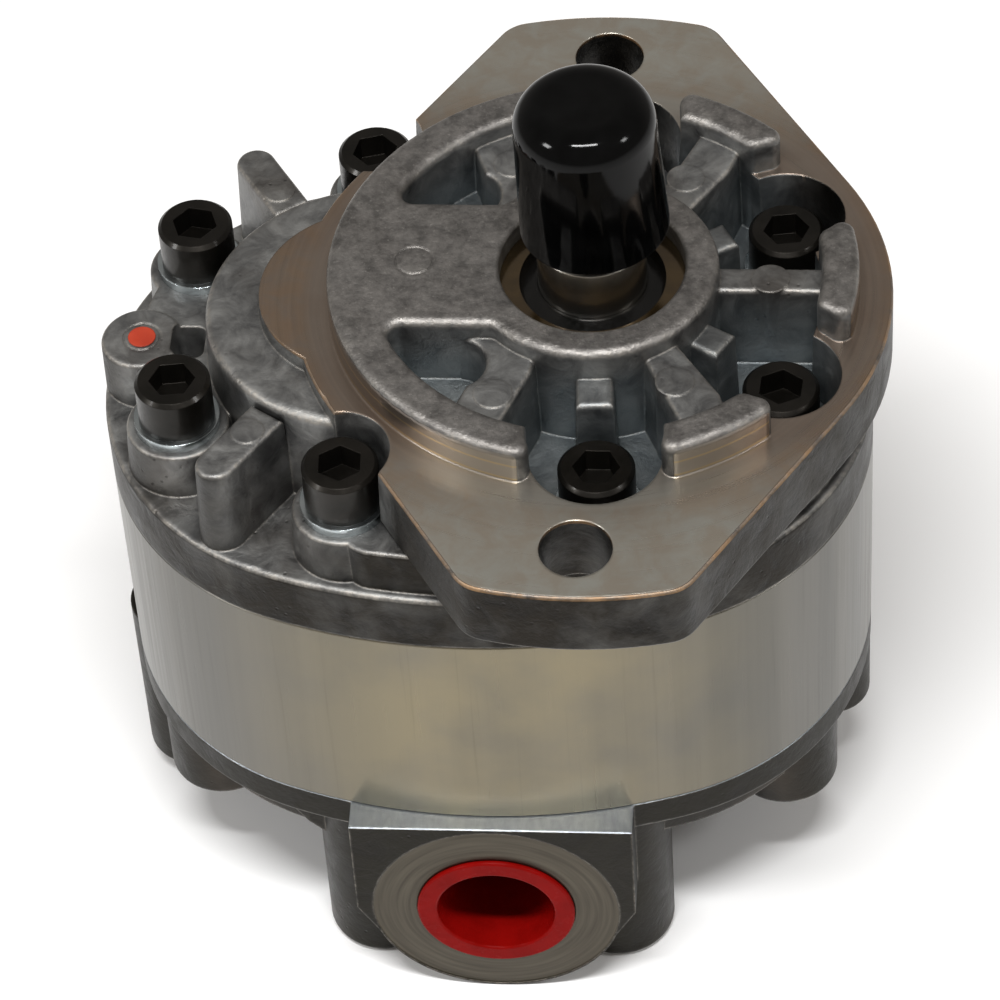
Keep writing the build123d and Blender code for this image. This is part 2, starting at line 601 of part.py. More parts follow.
garter = Pos(0, 0, spring_z) * Torus(spring_r, 0.6)

# ================================================================ cap, plugs, paint dot
cap_out = Pos(0, 0, cap_len / 2) * Cone(cap_mouth_r, cap_top_r, cap_len)
cap_out = fillet(at_height(cap_out.edges(), cap_len), cap_round)
in_len = cap_len - cap_wall - 0.4
cap_in = Pos(0, 0, in_len / 2 - 0.5) * Cone(cap_mouth_r - cap_wall, cap_top_r - cap_wall, in_len + 1)
cap_in = fillet(at_height(cap_in.edges(), in_len), 2.0)
cap = cap_out - cap_in
cap = Pos(cap_shift, 0, cap_z) * Rot(0, -cap_tilt, 0) * cap


def port_plug(port_r, side):
    """Cup-shaped plug, its rim just proud of the port's face, open to the outside."""
    r = port_r - plug_gap
    body = Pos(0, 0, -plug_len / 2) * Cylinder(r, plug_len)
    under = 0.05 - spot_depth
    rim_body = Pos(0, 0, (plug_lip + under) / 2) * Cylinder(port_r + plug_lip, plug_lip - under)
    plug = body + rim_body
    cup = plug_len - 2.0
    plug -= Pos(0, 0, plug_lip + 0.1 - cup / 2) * Cylinder(r - plug_wall, cup)
    plug = fillet([e for e in plug.edges().filter_by(GeomType.CIRCLE)
                   if e.center().Z > plug_lip - 0.05], 0.4)
    return Pos(port_x, side * port_face, port_z) * Rot(-side * 90, 0, 0) * plug


inlet_plug = port_plug(inlet_r, -1)
outlet_plug = port_plug(outlet_r, 1)
paint_dot = post(dowel_x[1], 0, dot_r, end_boss_z + dot_t, end_boss_z)

# ================================================================ write every node
os.makedirs("parts", exist_ok=True)
write("front_cover", cover)
write("center_section", centre)
write("rear_cover", rear)
write("cover_screws", grouped(screw_nodes))
write("screw_washers", grouped(washer_nodes))
write("dowel_pins", grouped(dowels))
write("front_drive_bushing", front_drive_bushing)
write("front_idler_bushing", front_idler_bushing)
write("rear_drive_bushing", rear_drive_bushing)
write("rear_idler_bushing", rear_idler_bushing)
write("front_wear_plate", front_wear_plate)
write("rear_wear_plate", rear_wear_plate)
write("front_plate_seal", front_plate_seal)
write("rear_plate_seal", rear_plate_seal)
write("front_body_seal", front_body_seal)
write("rear_body_seal", rear_body_seal)
write("shaft_seal_case", case)
write("shaft_seal_lip", lip)
write("shaft_seal_spring", garter)
write("drive_shaft", drive_shaft)
write("drive_gear", drive_gear)
write("drive_gear_key", drive_key)
write("idler_shaft", idler_shaft)
write("idler_gear", idler_gear)
write("shaft_cap", cap)
write("inlet_plug", inlet_plug)
write("outlet_plug", outlet_plug)
write("paint_dot", paint_dot)
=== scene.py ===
import bpy
from mathutils import Matrix, Vector


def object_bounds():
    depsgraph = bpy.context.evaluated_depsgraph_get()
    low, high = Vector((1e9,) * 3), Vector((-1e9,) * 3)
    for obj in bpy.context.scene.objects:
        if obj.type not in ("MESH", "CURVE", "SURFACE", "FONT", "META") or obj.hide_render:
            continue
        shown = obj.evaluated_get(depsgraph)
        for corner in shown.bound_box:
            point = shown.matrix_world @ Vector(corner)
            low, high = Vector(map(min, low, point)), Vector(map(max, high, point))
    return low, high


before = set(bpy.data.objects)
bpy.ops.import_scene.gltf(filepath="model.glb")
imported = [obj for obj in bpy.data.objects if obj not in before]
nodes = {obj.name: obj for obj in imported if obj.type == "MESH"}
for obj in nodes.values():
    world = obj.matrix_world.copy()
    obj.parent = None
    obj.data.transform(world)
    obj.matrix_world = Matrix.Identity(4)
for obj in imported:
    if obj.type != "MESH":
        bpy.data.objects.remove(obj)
cad_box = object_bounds()
bpy.ops.object.select_all(action="DESELECT")

MM = 0.001

# Places on the castings
HALF_SPAN = 17.5 * MM                         # half the distance between the two gear axes
WALL_FROM, WALL_TO = 39 * MM, 43 * MM         # the outside walls begin between these distances
PILOT_R = 41.275 * MM
PILOT_MIDDLE, PILOT_HALF = 2.4 * MM, 2.3 * MM  # of the machined band's height
PILOT_TOP = 5.2 * MM                          # the cast crust on top starts here
FLANGE_FACE = 0.0
REAR_JOINT = -73.3 * MM
PORT_X, PORT_Z = -16.7 * MM, -94.2 * MM
PORT_FACE = 49.15 * MM
SPOT_FACE_R = 20.2 * MM


# ---------------------------------------------------------------- material tools
def linear(code):
    """Linear colour of an sRGB hex code."""
    channels = [int(code[i:i + 2], 16) / 255 for i in (1, 3, 5)]
    curved = [c / 12.92 if c <= 0.04045 else ((c + 0.055) / 1.055) ** 2.4 for c in channels]
    return (*curved, 1.0)


# Numbered sockets: Map Range 0 value, 1 and 2 from, 3 and 4 to; Mix 0 factor, 2 and 3 numbers,
# 6 and 7 colours
NOISE, RANGE, MATH, MIX = ("ShaderNodeTexNoise", "ShaderNodeMapRange", "ShaderNodeMath",
                           "ShaderNodeMix")


def add(tree, kind, sockets=(), **settings):
    """Adds a node with its settings and links. A socket is given a value, another node's output, or a
    node, which stands for its first output in use. A node in place of a kind gets its sockets filled."""
    made = tree.nodes.new(kind) if isinstance(kind, str) else kind
    for key, value in settings.items():
        setattr(made, key, value)
    for key, value in dict(sockets).items():
        if isinstance(value, bpy.types.Node):
            value = next(output for output in value.outputs if output.enabled)
        if isinstance(value, bpy.types.NodeSocket):
            tree.links.new(value, made.inputs[key])
        else:
            made.inputs[key].default_value = value
    return made


def finish_of(name):
    """New node material, as (material, tree, shader, object coordinates)."""
    made = bpy.data.materials.new(name)
    made.use_nodes = True
    tree = made.node_tree
    shader = tree.nodes["Principled BSDF"]
    place = add(tree, "ShaderNodeTexCoord").outputs["Object"]
    return made, tree, shader, place


def dress(material, *names):
    """Gives CAD nodes their finish."""
    for name in names:
        mesh = nodes[name].data
        mesh.materials.clear()
        mesh.materials.append(material)


# ---------------------------------------------------------------- die-cast aluminium
def distance(tree, a, b):
    """Length of the flat vector a, b."""
    square = add(tree, MATH, {0: b, 1: b}, operation="MULTIPLY")
    total = add(tree, MATH, {0: a, 1: a, 2: square}, operation="MULTIPLY_ADD")
    return add(tree, MATH, {0: total}, operation="SQRT")


def near(tree, value, level, half):
    """1 where a value lies within half of a level."""
    offset = add(tree, MATH, {0: value, 1: level}, operation="SUBTRACT")
    gap = add(tree, MATH, {0: offset}, operation="ABSOLUTE")
    return add(tree, RANGE, {0: gap, 1: half, 2: half * 1.6, 3: 1.0, 4: 0.0})


def milled_at(tree, z, rise, height, half):
    """1 on the faces that look up at a height."""
    flat = add(tree, RANGE, {0: rise, 1: 0.9, 2: 0.96})
    return add(tree, MATH, {0: near(tree, z, height, half), 1: flat}, operation="MULTIPLY")


def turned(tree, radius, a, b, pitch_mm):
    """Tool marks that run round an axis, drawn wide enough to show."""
    angle = add(tree, MATH, {0: b, 1: a}, operation="ARCTAN2")
    out = add(tree, MATH, {0: radius, 1: 1 / (pitch_mm * MM)}, operation="MULTIPLY")
    sine = add(tree, MATH, {0: angle}, operation="SINE")
    cosine = add(tree, MATH, {0: angle}, operation="COSINE")
    rings = add(tree, "ShaderNodeCombineXYZ", {0: out, 1: sine, 2: cosine})
    return add(tree, NOISE, {"Vector": rings, "Scale": 1.0, "Detail": 2.0})


def lay_over(tree, mask, look, colour, rough, height):
    """Puts another surface over the cast skin where the mask is 1."""
    look[0] = add(tree, MIX, {0: mask, 6: look[0], 7: colour}, data_type="RGBA")
    look[1] = add(tree, MIX, {0: mask, 2: look[1], 3: rough})
    look[2] = add(tree, MIX, {0: mask, 2: look[2], 3: height})


def cast_aluminium(name, skin, shade, outer):
    """Die-cast aluminium: a fine grain, slow flow marks and oily stains, painted shade on the outside
    walls and in hollows, the rounded edges worn bright and partly painted highlights. Returns what a
    machined face needs to be laid over it."""
    made, tree, shader, place = finish_of(name)
    normal = tree.nodes["Texture Coordinate"].outputs["Normal"]
    rise = add(tree, "ShaderNodeSeparateXYZ", {0: normal}).outputs["Z"]
    up = add(tree, MATH, {0: rise}, operation="ABSOLUTE")
    spot = add(tree, "ShaderNodeSeparateXYZ", {0: place})
    x, y, z = (spot.outputs[i] for i in range(3))
    # grain 0.7 mm, flow marks 5 mm, oil stains 18 mm
    grain = add(tree, NOISE, {"Vector": place, "Scale": 1 / (0.7 * MM), "Detail": 4.0,
                              "Roughness": 0.6})
    flow = add(tree, NOISE, {"Vector": place, "Scale": 1 / (5 * MM), "Detail": 6.0,
                             "Roughness": 0.62, "Distortion": 0.5})
    stain = add(tree, NOISE, {"Vector": place, "Scale": 1 / (18 * MM), "Detail": 5.0,
                              "Roughness": 0.6})
    mottle = add(tree, RANGE, {0: flow, 1: 0.34, 2: 0.66})
    colour = add(tree, MIX, {0: mottle, 6: linear(shade), 7: linear(skin)}, data_type="RGBA")

    # brown oil stains
    oily = add(tree, RANGE, {0: stain, 1: 0.48, 2: 0.72, 3: 0.0, 4: 0.5})
    colour = add(tree, MIX, {0: oily, 6: colour, 7: linear("#4f463d")}, data_type="RGBA")

    # painted shade on the upright outside walls, streaky and patchy, placed by how far a point lies from
    # the line that joins the two gear axes
    centred = add(tree, MATH, {0: x, 1: HALF_SPAN}, operation="ADD")
    along = add(tree, MATH, {0: centred}, operation="ABSOLUTE")
    beyond = add(tree, MATH, {0: along, 1: HALF_SPAN}, operation="SUBTRACT")
    past = add(tree, MATH, {0: beyond, 1: 0.0}, operation="MAXIMUM")
    wall = add(tree, RANGE, {0: distance(tree, past, y), 1: WALL_FROM, 2: WALL_TO})
    upright = add(tree, RANGE, {0: up, 1: 0.25, 2: 0.8, 3: 1.0, 4: 0.0})
    patchy = add(tree, RANGE, {0: stain, 1: 0.3, 2: 0.55, 3: 0.7, 4: 1.0})
    outside = add(tree, MATH, {0: upright, 1: wall}, operation="MULTIPLY")
    outside = add(tree, MATH, {0: outside, 1: patchy}, operation="MULTIPLY")
    streaks = add(tree, RANGE, {0: flow, 1: 0.35, 2: 0.65})
    wall_shade_streaks = add(tree, MIX, {0: streaks, 6: linear(outer[0]), 7: linear(outer[1])},
                  data_type="RGBA")
    colour = add(tree, MIX, {0: outside, 6: colour, 7: wall_shade_streaks}, data_type="RGBA")

    # painted shade in the hollows: darker where occlusion within 4 mm is high
    nook = add(tree, "ShaderNodeAmbientOcclusion", {"Distance": 4 * MM}, samples=4).outputs["AO"]
    painted_shade = add(tree, RANGE, {0: nook, 1: 0.25, 2: 0.75, 3: 0.55, 4: 0.0})
    colour = add(tree, MIX, {0: painted_shade, 6: colour, 7: linear("#1d1b19")}, data_type="RGBA")

    # pits under 1 mm across and 2.2 mm apart, in patches
    cells = add(tree, "ShaderNodeTexVoronoi", {"Vector": place, "Scale": 1 / (2.2 * MM)})
    pit = add(tree, RANGE, {0: cells.outputs["Distance"], 1: 0.05, 2: 0.17, 3: 1.0, 4: 0.0})
    patch = add(tree, RANGE, {0: stain, 1: 0.5, 2: 0.62})
    pits = add(tree, MATH, {0: pit, 1: patch}, operation="MULTIPLY")
    shadow = add(tree, MATH, {0: pits, 1: 0.6}, operation="MULTIPLY")
    colour = add(tree, MIX, {0: shadow, 6: colour, 7: linear("#1f1d1b")}, data_type="RGBA")

    # edge wear and painted highlights, bright: the cast fillets, picked by how far they lean, and a hair
    # of every sharp corner
    rounded = add(tree, "ShaderNodeBevel", {"Radius": 0.6 * MM}, samples=6)
    true = add(tree, "ShaderNodeNewGeometry").outputs["Normal"]
    bend = add(tree, "ShaderNodeVectorMath", {0: rounded, 1: true}, operation="DOT_PRODUCT")
    sharp = add(tree, RANGE, {0: bend.outputs["Value"], 1: 0.99, 2: 0.86})
    leaning = add(tree, RANGE, {0: up, 1: 0.2, 2: 0.5})
    unlevel = add(tree, RANGE, {0: up, 1: 0.8, 2: 0.97, 3: 1.0, 4: 0.0})
    fillets = add(tree, MATH, {0: leaning, 1: unlevel}, operation="MULTIPLY")
    edges = add(tree, MATH, {0: fillets, 1: sharp}, operation="MAXIMUM")
    grit = add(tree, RANGE, {0: grain, 1: 0.3, 2: 0.62})
    uneven = add(tree, RANGE, {0: flow, 1: 0.36, 2: 0.6, 3: 0.15, 4: 0.75})
    wear_and_highlight = add(tree, MATH, {0: edges, 1: grit}, operation="MULTIPLY")
    wear_and_highlight = add(tree, MATH, {0: wear_and_highlight, 1: uneven}, operation="MULTIPLY")
    colour = add(tree, MIX, {0: wear_and_highlight, 6: colour, 7: linear("#a39d94")}, data_type="RGBA")

    rough = add(tree, RANGE, {0: flow, 1: 0.3, 2: 0.7, 3: 0.38, 4: 0.55})
    swell = add(tree, MATH, {0: flow, 1: 2.0}, operation="MULTIPLY")
    height = add(tree, MATH, {0: grain, 1: 0.4, 2: swell}, operation="MULTIPLY_ADD")
    height = add(tree, MATH, {0: pits, 1: -0.9, 2: height}, operation="MULTIPLY_ADD")
    return (made, tree, shader, rounded, (place, x, y, z, rise), (flow, stain, grain),
            [colour, rough, height])


def finish_cast(tree, shader, rounded, look, depth_mm):
    """Joins a casting's colour, roughness and relief to its shader."""
    colour, rough, height = look
    relief = add(tree, "ShaderNodeBump", {"Strength": 0.6, "Distance": depth_mm * MM,
                                          "Height": height, "Normal": rounded})
    add(tree, shader, {"Base Color": colour, "Roughness": rough, "Normal": relief,
                       "Metallic": 0.9})


def front_casting():
    """Bluish inside its hollows, painted shade on the brown outside walls, with a crusty top; the flange
    face and the pilot's band are turned and stained, with painted highlights: gold lines on the band,
    greyer ears."""
    # the last pair of colours is painted shade on the outside walls
    made, tree, shader, rounded, (place, x, y, z, rise), (flow, stain, grain), look = cast_aluminium(
        "die_cast_aluminium_front", "#90908e", "#626262", ("#181613", "#25211b"))
    radius = distance(tree, x, y)

    # hollows inside the pilot
    within = add(tree, RANGE, {0: radius, 1: 37 * MM, 2: 41 * MM, 3: 1.0, 4: 0.0})
    sunk = add(tree, RANGE, {0: z, 1: -2 * MM, 2: 3 * MM, 3: 1.0, 4: 0.0})
    hollow = add(tree, MATH, {0: within, 1: sunk}, operation="MULTIPLY")
    bluish = add(tree, MATH, {0: hollow, 1: 0.45}, operation="MULTIPLY")
    look[0] = add(tree, MIX, {0: bluish, 6: look[0], 7: linear("#687378")}, data_type="RGBA")

    # cast top of the pilot: a crust of 2.6 mm lumps, nicked bright and dented dark
    crust = add(tree, NOISE, {"Vector": place, "Scale": 1 / (2.6 * MM), "Detail": 8.0,
                              "Roughness": 0.68})
    raised = add(tree, RANGE, {0: z, 1: PILOT_TOP, 2: PILOT_TOP + 1.0 * MM})
    top = add(tree, MATH, {0: raised, 1: 0.85}, operation="MULTIPLY")
    blotch = add(tree, RANGE, {0: crust, 1: 0.36, 2: 0.68})
    colour = add(tree, MIX, {0: blotch, 6: linear("#5d5a57"), 7: linear("#989490")},
                 data_type="RGBA")
    rough = add(tree, RANGE, {0: crust, 1: 0.3, 2: 0.7, 3: 0.5, 4: 0.38})
    lumps = add(tree, MATH, {0: crust, 1: 1.9}, operation="MULTIPLY")
    height = add(tree, MATH, {0: grain, 1: 0.9, 2: lumps}, operation="MULTIPLY_ADD")
    lay_over(tree, top, look, colour, rough, height)
    bright = add(tree, RANGE, {0: grain, 1: 0.6, 2: 0.72, 3: 0.0, 4: 0.5})
    nicks = add(tree, MATH, {0: top, 1: bright}, operation="MULTIPLY")
    look[0] = add(tree, MIX, {0: nicks, 6: look[0], 7: linear("#b9b5af")}, data_type="RGBA")
    dark = add(tree, RANGE, {0: grain, 1: 0.28, 2: 0.4, 3: 0.45, 4: 0.0})
    dents = add(tree, MATH, {0: top, 1: dark}, operation="MULTIPLY")
    look[0] = add(tree, MIX, {0: dents, 6: look[0], 7: linear("#35322f")}, data_type="RGBA")

    # machined flange face and pilot band, brown near the shaft and greyer towards the ears, partly stain
    # and partly a painted highlight
    face = milled_at(tree, z, rise, FLANGE_FACE, 0.08 * MM)
    at_rim = near(tree, radius, PILOT_R, 0.12 * MM)
    at_height = near(tree, z, PILOT_MIDDLE, PILOT_HALF)
    band = add(tree, MATH, {0: at_rim, 1: at_height}, operation="MULTIPLY")
    arcs = turned(tree, radius, x, y, 0.8)
    sheen = add(tree, RANGE, {0: arcs, 1: 0.25, 2: 0.75})
    tone = add(tree, MIX, {0: sheen, 6: linear("#726155"), 7: linear("#816e60")}, data_type="RGBA")
    sideways = add(tree, MATH, {0: y}, operation="ABSOLUTE")
    to_ears = add(tree, RANGE, {0: sideways, 1: 30 * MM, 2: 52 * MM})
    grey_and_highlight = add(tree, MATH, {0: to_ears, 1: 0.8}, operation="MULTIPLY")
    grey_and_highlight = add(tree, MATH, {0: stain, 1: 0.35, 2: grey_and_highlight}, operation="MULTIPLY_ADD")
    tone = add(tree, MIX, {0: grey_and_highlight, 6: tone, 7: linear("#b6b6ae")}, data_type="RGBA")

    # painted gold highlights: two lines round the band
    foot_line = near(tree, z, 0.45 * MM, 0.18 * MM)
    upper_line = near(tree, z, 3.3 * MM, 0.15 * MM)
    lines = add(tree, MATH, {0: foot_line, 1: upper_line}, operation="MAXIMUM")
    painted_gold_highlight = add(tree, MATH, {0: band, 1: lines}, operation="MULTIPLY")
    painted_gold_highlight = add(tree, MATH, {0: painted_gold_highlight, 1: 0.5}, operation="MULTIPLY")
    tone = add(tree, MIX, {0: painted_gold_highlight, 6: tone, 7: linear("#c2a878")}, data_type="RGBA")
    machined = add(tree, MATH, {0: face, 1: band}, operation="MAXIMUM")
    rough = add(tree, RANGE, {0: arcs, 1: 0.2, 2: 0.8, 3: 0.25, 4: 0.33})
    height = add(tree, MATH, {0: arcs, 1: 0.12}, operation="MULTIPLY")
    lay_over(tree, machined, look, tone, rough, height)

    # coppery band just below the flange face's edge
    brink = near(tree, z, -0.3 * MM, 0.22 * MM)
    uneven = add(tree, RANGE, {0: flow, 1: 0.35, 2: 0.6, 3: 0.1, 4: 0.8})
    outer = add(tree, RANGE, {0: radius, 1: 44 * MM, 2: 46 * MM})
    coppery_band = add(tree, MATH, {0: brink, 1: uneven}, operation="MULTIPLY")
    coppery_band = add(tree, MATH, {0: coppery_band, 1: outer}, operation="MULTIPLY")
    look[0] = add(tree, MIX, {0: coppery_band, 6: look[0], 7: linear("#9a7a58")}, data_type="RGBA")
    finish_cast(tree, shader, rounded, look, 0.2)
    return made


def rear_casting():
    """Dark and oily, with a milled joint face and turned spot faces round the ports."""
    # the last pair of colours is painted shade on the outside walls
    made, tree, shader, rounded, (place, x, y, z, rise), _, look = cast_aluminium(
        "die_cast_aluminium_rear", "#363431", "#282623", ("#1c1a16", "#25231d"))

    # milled joint face, its marks 0.9 mm apart and drawn out along the cutter's path
    path = add(tree, "ShaderNodeMapping", {0: place, 2: (0.0, 0.0, 0.7), 3: (1.0, 0.35, 1.0)})
    mills = add(tree, NOISE, {"Vector": path, "Scale": 1 / (0.9 * MM), "Detail": 3.0})
    face = milled_at(tree, z, rise, REAR_JOINT, 0.1 * MM)
    sheen = add(tree, RANGE, {0: mills, 1: 0.2, 2: 0.8})
    colour = add(tree, MIX, {0: sheen, 6: linear("#9a9fa8"), 7: linear("#b4bcc1")},
                 data_type="RGBA")
    rough = add(tree, RANGE, {0: mills, 1: 0.3, 2: 0.7, 3: 0.4, 4: 0.3})
    height = add(tree, MATH, {0: mills, 1: 0.6}, operation="MULTIPLY")
    lay_over(tree, face, look, colour, rough, height)

    # turned spot face round each port
    across = add(tree, MATH, {0: x, 1: PORT_X}, operation="SUBTRACT")
    above = add(tree, MATH, {0: z, 1: PORT_Z}, operation="SUBTRACT")
    radius = distance(tree, across, above)
    rings = turned(tree, radius, across, above, 0.7)
    sideways = add(tree, MATH, {0: y}, operation="ABSOLUTE")
    disc = add(tree, RANGE, {0: radius, 1: SPOT_FACE_R, 2: SPOT_FACE_R + 0.2 * MM, 3: 1.0, 4: 0.0})
    on_face = near(tree, sideways, PORT_FACE, 0.1 * MM)
    spot_face = add(tree, MATH, {0: on_face, 1: disc}, operation="MULTIPLY")
    sheen = add(tree, RANGE, {0: rings, 1: 0.3, 2: 0.7})
    colour = add(tree, MIX, {0: sheen, 6: linear("#403b33"), 7: linear("#514c42")},
                 data_type="RGBA")
    rough = add(tree, RANGE, {0: rings, 1: 0.3, 2: 0.7, 3: 0.36, 4: 0.28})
    height = add(tree, MATH, {0: rings, 1: 0.25}, operation="MULTIPLY")
    lay_over(tree, spot_face, look, colour, rough, height)
    finish_cast(tree, shader, rounded, look, 0.14)
    return made


dress(front_casting(), "front_cover")
dress(rear_casting(), "rear_cover")


# ---------------------------------------------------------------- extruded aluminium
def extruded_aluminium():
    """Bright extrusion: faint die lines along Z, a patchy painted reflection in a warmer tone over the
    middle, a few specks.
    """
    made, tree, shader, place = finish_of("extruded_aluminium_satin")
    # die lines 0.7 mm wide, stretched fifty times along the extrusion
    drawn = add(tree, "ShaderNodeMapping", {0: place, 3: (1.0, 1.0, 0.02)})
    lines = add(tree, NOISE, {"Vector": drawn, "Scale": 1 / (0.7 * MM), "Detail": 4.0})
    bands = add(tree, NOISE, {"Vector": drawn, "Scale": 1 / (8 * MM), "Detail": 4.0})
    cloud = add(tree, NOISE, {"Vector": place, "Scale": 1 / (24 * MM), "Detail": 5.0})
    shade = add(tree, RANGE, {0: bands, 1: 0.35, 2: 0.65})
    colour = add(tree, MIX, {0: shade, 6: linear("#5f5e5a"), 7: linear("#6b6964")},
                 data_type="RGBA")

    # painted reflection in a warmer tone over the middle, patchy, fading towards both ends
    x = add(tree, "ShaderNodeSeparateXYZ", {0: place}).outputs["X"]
    centred = add(tree, MATH, {0: x, 1: 14 * MM}, operation="ADD")
    sideways = add(tree, MATH, {0: centred}, operation="ABSOLUTE")
    middle = add(tree, RANGE, {0: sideways, 1: 12 * MM, 2: 46 * MM, 3: 1.0, 4: 0.0})
    patchy = add(tree, RANGE, {0: cloud, 1: 0.3, 2: 0.6, 3: 0.35, 4: 1.0})
    painted_warm_reflection = add(tree, MATH, {0: middle, 1: patchy}, operation="MULTIPLY")
    colour = add(tree, MIX, {0: painted_warm_reflection, 6: colour, 7: linear("#857c66")}, data_type="RGBA")

    # dark die lines, and specks 0.6 mm across, a few to a side
    scored = add(tree, RANGE, {0: lines, 1: 0.62, 2: 0.74, 3: 0.0, 4: 0.12})
    colour = add(tree, MIX, {0: scored, 6: colour, 7: linear("#3f3d39")}, data_type="RGBA")
    cells = add(tree, "ShaderNodeTexVoronoi", {"Vector": place, "Scale": 1 / (9 * MM)})
    speck = add(tree, RANGE, {0: cells.outputs["Distance"], 1: 0.05, 2: 0.09, 3: 0.8, 4: 0.0})
    patch = add(tree, RANGE, {0: cloud, 1: 0.5, 2: 0.58})
    specks = add(tree, MATH, {0: speck, 1: patch}, operation="MULTIPLY")
    colour = add(tree, MIX, {0: specks, 6: colour, 7: linear("#35322c")}, data_type="RGBA")

    rough = add(tree, RANGE, {0: lines, 1: 0.25, 2: 0.75, 3: 0.26, 4: 0.36})
    rounded = add(tree, "ShaderNodeBevel", {"Radius": 0.3 * MM}, samples=4)
    relief = add(tree, "ShaderNodeBump", {"Strength": 0.25, "Distance": 0.03 * MM,
                                          "Height": lines, "Normal": rounded})
    add(tree, shader, {"Base Color": colour, "Roughness": rough, "Normal": relief,
                       "Metallic": 1.0})
    return made


dress(extruded_aluminium(), "center_section")


# ---------------------------------------------------------------- steels, bronze, rubber, plastics
def worked_metal(name, low, high, rough, grain_mm, metallic=1.0, oil=0.0, stain=None):
    """Steel or bronze with fine tool grain and slight tone changes."""
    made, tree, shader, place = finish_of(name)
    fine = add(tree, NOISE, {"Vector": place, "Scale": 1 / (grain_mm * MM), "Detail": 3.0})
    broad = add(tree, NOISE, {"Vector": place, "Scale": 1 / (6 * MM), "Detail": 4.0})
    tone = add(tree, RANGE, {0: broad, 1: 0.35, 2: 0.65})
    colour = add(tree, MIX, {0: tone, 6: linear(low), 7: linear(high)}, data_type="RGBA")
    if stain:
        patches = add(tree, RANGE, {0: broad, 1: 0.45, 2: 0.65, 3: 0.0, 4: 0.7})
        colour = add(tree, MIX, {0: patches, 6: colour, 7: linear(stain)}, data_type="RGBA")
    rounded = add(tree, "ShaderNodeBevel", {"Radius": 0.25 * MM}, samples=4)
    relief = add(tree, "ShaderNodeBump", {"Strength": 0.2, "Distance": 0.03 * MM, "Height": fine,
                                          "Normal": rounded})
    dull = add(tree, RANGE, {0: fine, 1: 0.25, 2: 0.75, 3: rough[0], 4: rough[1]})
    add(tree, shader, {"Base Color": colour, "Roughness": dull, "Normal": relief,
                       "Metallic": metallic, "Coat Weight": oil, "Coat Roughness": 0.12})
    return made


# screws: blackened steel with a film of oil; washers: bright zinc plate
dress(worked_metal("black_oxide_steel", "#15130f", "#221f1b", (0.30, 0.42), 0.6, 0.8, 0.12),
      "cover_screws")
dress(worked_metal("zinc_plated_steel", "#a0a8ab", "#bcc3c5", (0.18, 0.28), 1.6), "screw_washers")
# shaft: ground steel, slightly oiled and straw-stained; gears and pins: hobbed and ground steel
dress(worked_metal("ground_shaft_steel", "#c9c6c0", "#d8d5cf", (0.22, 0.26), 3.0, oil=0.1,
                   stain="#bdb4a4"), "drive_shaft")
dress(worked_metal("gear_steel", "#85827d", "#9c9994", (0.2, 0.32), 0.6),
      "drive_gear", "idler_gear", "idler_shaft", "drive_gear_key", "dowel_pins")
# bushings and wear plates: bored and lapped bronze
dress(worked_metal("bearing_bronze", "#a07a45", "#b98f57", (0.25, 0.4), 0.6),
      "front_drive_bushing", "front_idler_bushing", "rear_drive_bushing", "rear_idler_bushing",
      "front_wear_plate", "rear_wear_plate")
# seal case: pressed steel, brown and wet with oil; its spring: drawn wire
dress(worked_metal("oiled_seal_case", "#3b2f1e", "#57462b", (0.10, 0.22), 0.5, 0.9, 0.6),
      "shaft_seal_case")
dress(worked_metal("garter_spring_steel", "#77736d", "#8f8b84", (0.2, 0.3), 0.4),
      "shaft_seal_spring")


def moulded(name, low, high, rough, peel_mm, coat=0.0, shine=0.5, depth_mm=0.02):
    """Rubber, vinyl, moulded plastic or paint: a slightly uneven skin over an even colour."""
    made, tree, shader, place = finish_of(name)
    peel = add(tree, NOISE, {"Vector": place, "Scale": 1 / (peel_mm * MM), "Detail": 2.0})
    cloud = add(tree, NOISE, {"Vector": place, "Scale": 1 / (5 * MM), "Detail": 3.0})
    rounded = add(tree, "ShaderNodeBevel", {"Radius": 0.3 * MM}, samples=4)
    relief = add(tree, "ShaderNodeBump", {"Strength": 0.3, "Distance": depth_mm * MM,
                                          "Height": peel, "Normal": rounded})
    tone = add(tree, RANGE, {0: cloud, 1: 0.35, 2: 0.65})
    colour = add(tree, MIX, {0: tone, 6: linear(low), 7: linear(high)}, data_type="RGBA")
    dull = add(tree, RANGE, {0: peel, 1: 0.25, 2: 0.75, 3: rough[0], 4: rough[1]})
    add(tree, shader, {"Base Color": colour, "Roughness": dull, "Normal": relief,
                       "Specular IOR Level": shine, "Coat Weight": coat, "Coat Roughness": 0.08})
    return made


# cap: dipped vinyl, glossy black; plugs: moulded polyethylene, thin and glossy red
dress(moulded("dipped_vinyl_black", "#020202", "#050505", (0.06, 0.10), 3.0, shine=0.12,
              depth_mm=0.04), "shaft_cap")
dress(moulded("gloss_red_polyethylene", "#6f0604", "#7c0806", (0.22, 0.3), 1.5, shine=0.04,
              depth_mm=0.03), "inlet_plug", "outlet_plug")
# seals: moulded nitrile rubber, black with a soft sheen; dot: a dab of inspection paint
dress(moulded("nitrile_rubber", "#070706", "#0d0c0b", (0.14, 0.26), 0.8, shine=0.25),
      "shaft_seal_lip", "front_plate_seal", "rear_plate_seal", "front_body_seal", "rear_body_seal")
dress(moulded("orange_inspection_paint", "#962b14", "#a5371f", (0.4, 0.55), 0.9, 0.1, 0.4, 0.1),
      "paint_dot")


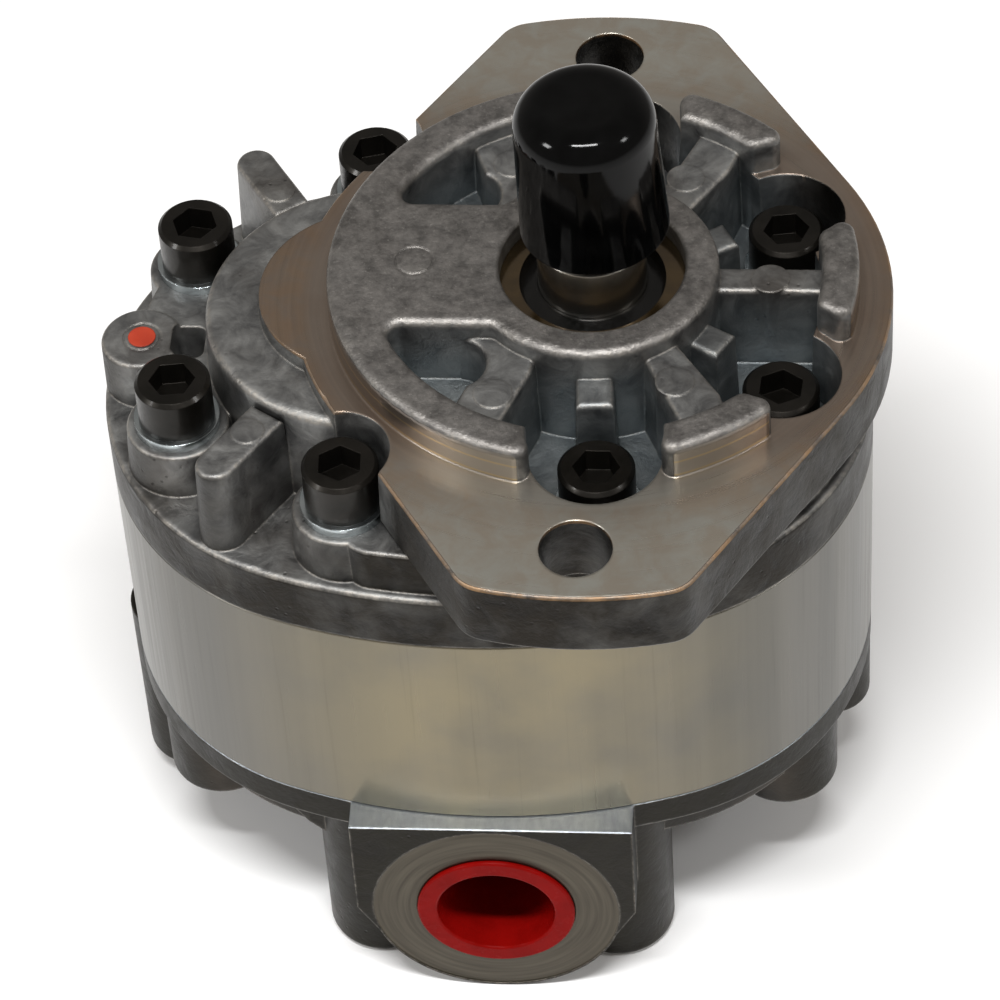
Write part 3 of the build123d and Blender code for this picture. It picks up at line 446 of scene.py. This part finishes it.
# ---------------------------------------------------------------- floor, light, camera
low, _ = cad_box
FLOOR_GAP = 0.2 * MM
bpy.ops.mesh.primitive_plane_add(size=6.0, location=(low.x, 0.0, low.z - FLOOR_GAP))
floor = bpy.context.object
floor.name = "studio_floor"
made, tree, shader, place = finish_of("studio_floor_white")
soft = add(tree, NOISE, {"Vector": place, "Scale": 3.0, "Detail": 2.0})
colour = add(tree, MIX, {0: soft, 6: linear("#f6f6f6"), 7: linear("#fafafa")}, data_type="RGBA")
add(tree, shader, {"Base Color": colour, "Roughness": 0.9, "Specular IOR Level": 0.1})
floor.data.materials.append(made)

world = bpy.data.worlds.new("studio")
bpy.context.scene.world = world
world.use_nodes = True
add(world.node_tree, world.node_tree.nodes["Background"], {"Color": linear("#f1ece6"),
                                                           "Strength": 0.38})


def softbox(name, place, aim, width, depth, watts):
    """Area light aimed at a point."""
    bpy.ops.object.light_add(type="AREA", location=place)
    lamp = bpy.context.object
    lamp.name = name
    lamp.data.shape = "RECTANGLE"
    lamp.data.size = width
    lamp.data.size_y = depth
    lamp.data.energy = watts
    lamp.rotation_mode = "QUATERNION"
    lamp.rotation_quaternion = (Vector(aim) - Vector(place)).to_track_quat("-Z", "Y")


centre = (-HALF_SPAN, 0.0, -0.03)
softbox("overhead_strip", (-0.02, -0.34, 0.80), centre, 0.42, 0.05, 8.0)
softbox("left_softbox", (-0.75, -0.35, 0.55), centre, 0.16, 0.16, 3.0)
softbox("right_softbox", (0.8, -0.25, 0.6), centre, 0.16, 0.16, 2.0)

camera_data = bpy.data.cameras.new("main_view")
camera = bpy.data.objects.new("main_view", camera_data)
bpy.context.scene.collection.objects.link(camera)
right, up = Vector((0.99684, 0.06263, -0.04903)), Vector((-0.01404, 0.74528, 0.66660))
turn = Matrix((right, up, right.cross(up))).transposed()
camera.matrix_world = Matrix.Translation((0.04546, -0.52927, 0.54405)) @ turn.to_4x4()
camera_data.lens = 175.96
camera_data.sensor_width = 36.0
camera_data.clip_start, camera_data.clip_end = 0.05, 20.0
bpy.context.scene.camera = camera
bpy.context.scene.view_settings.view_transform = "Standard"
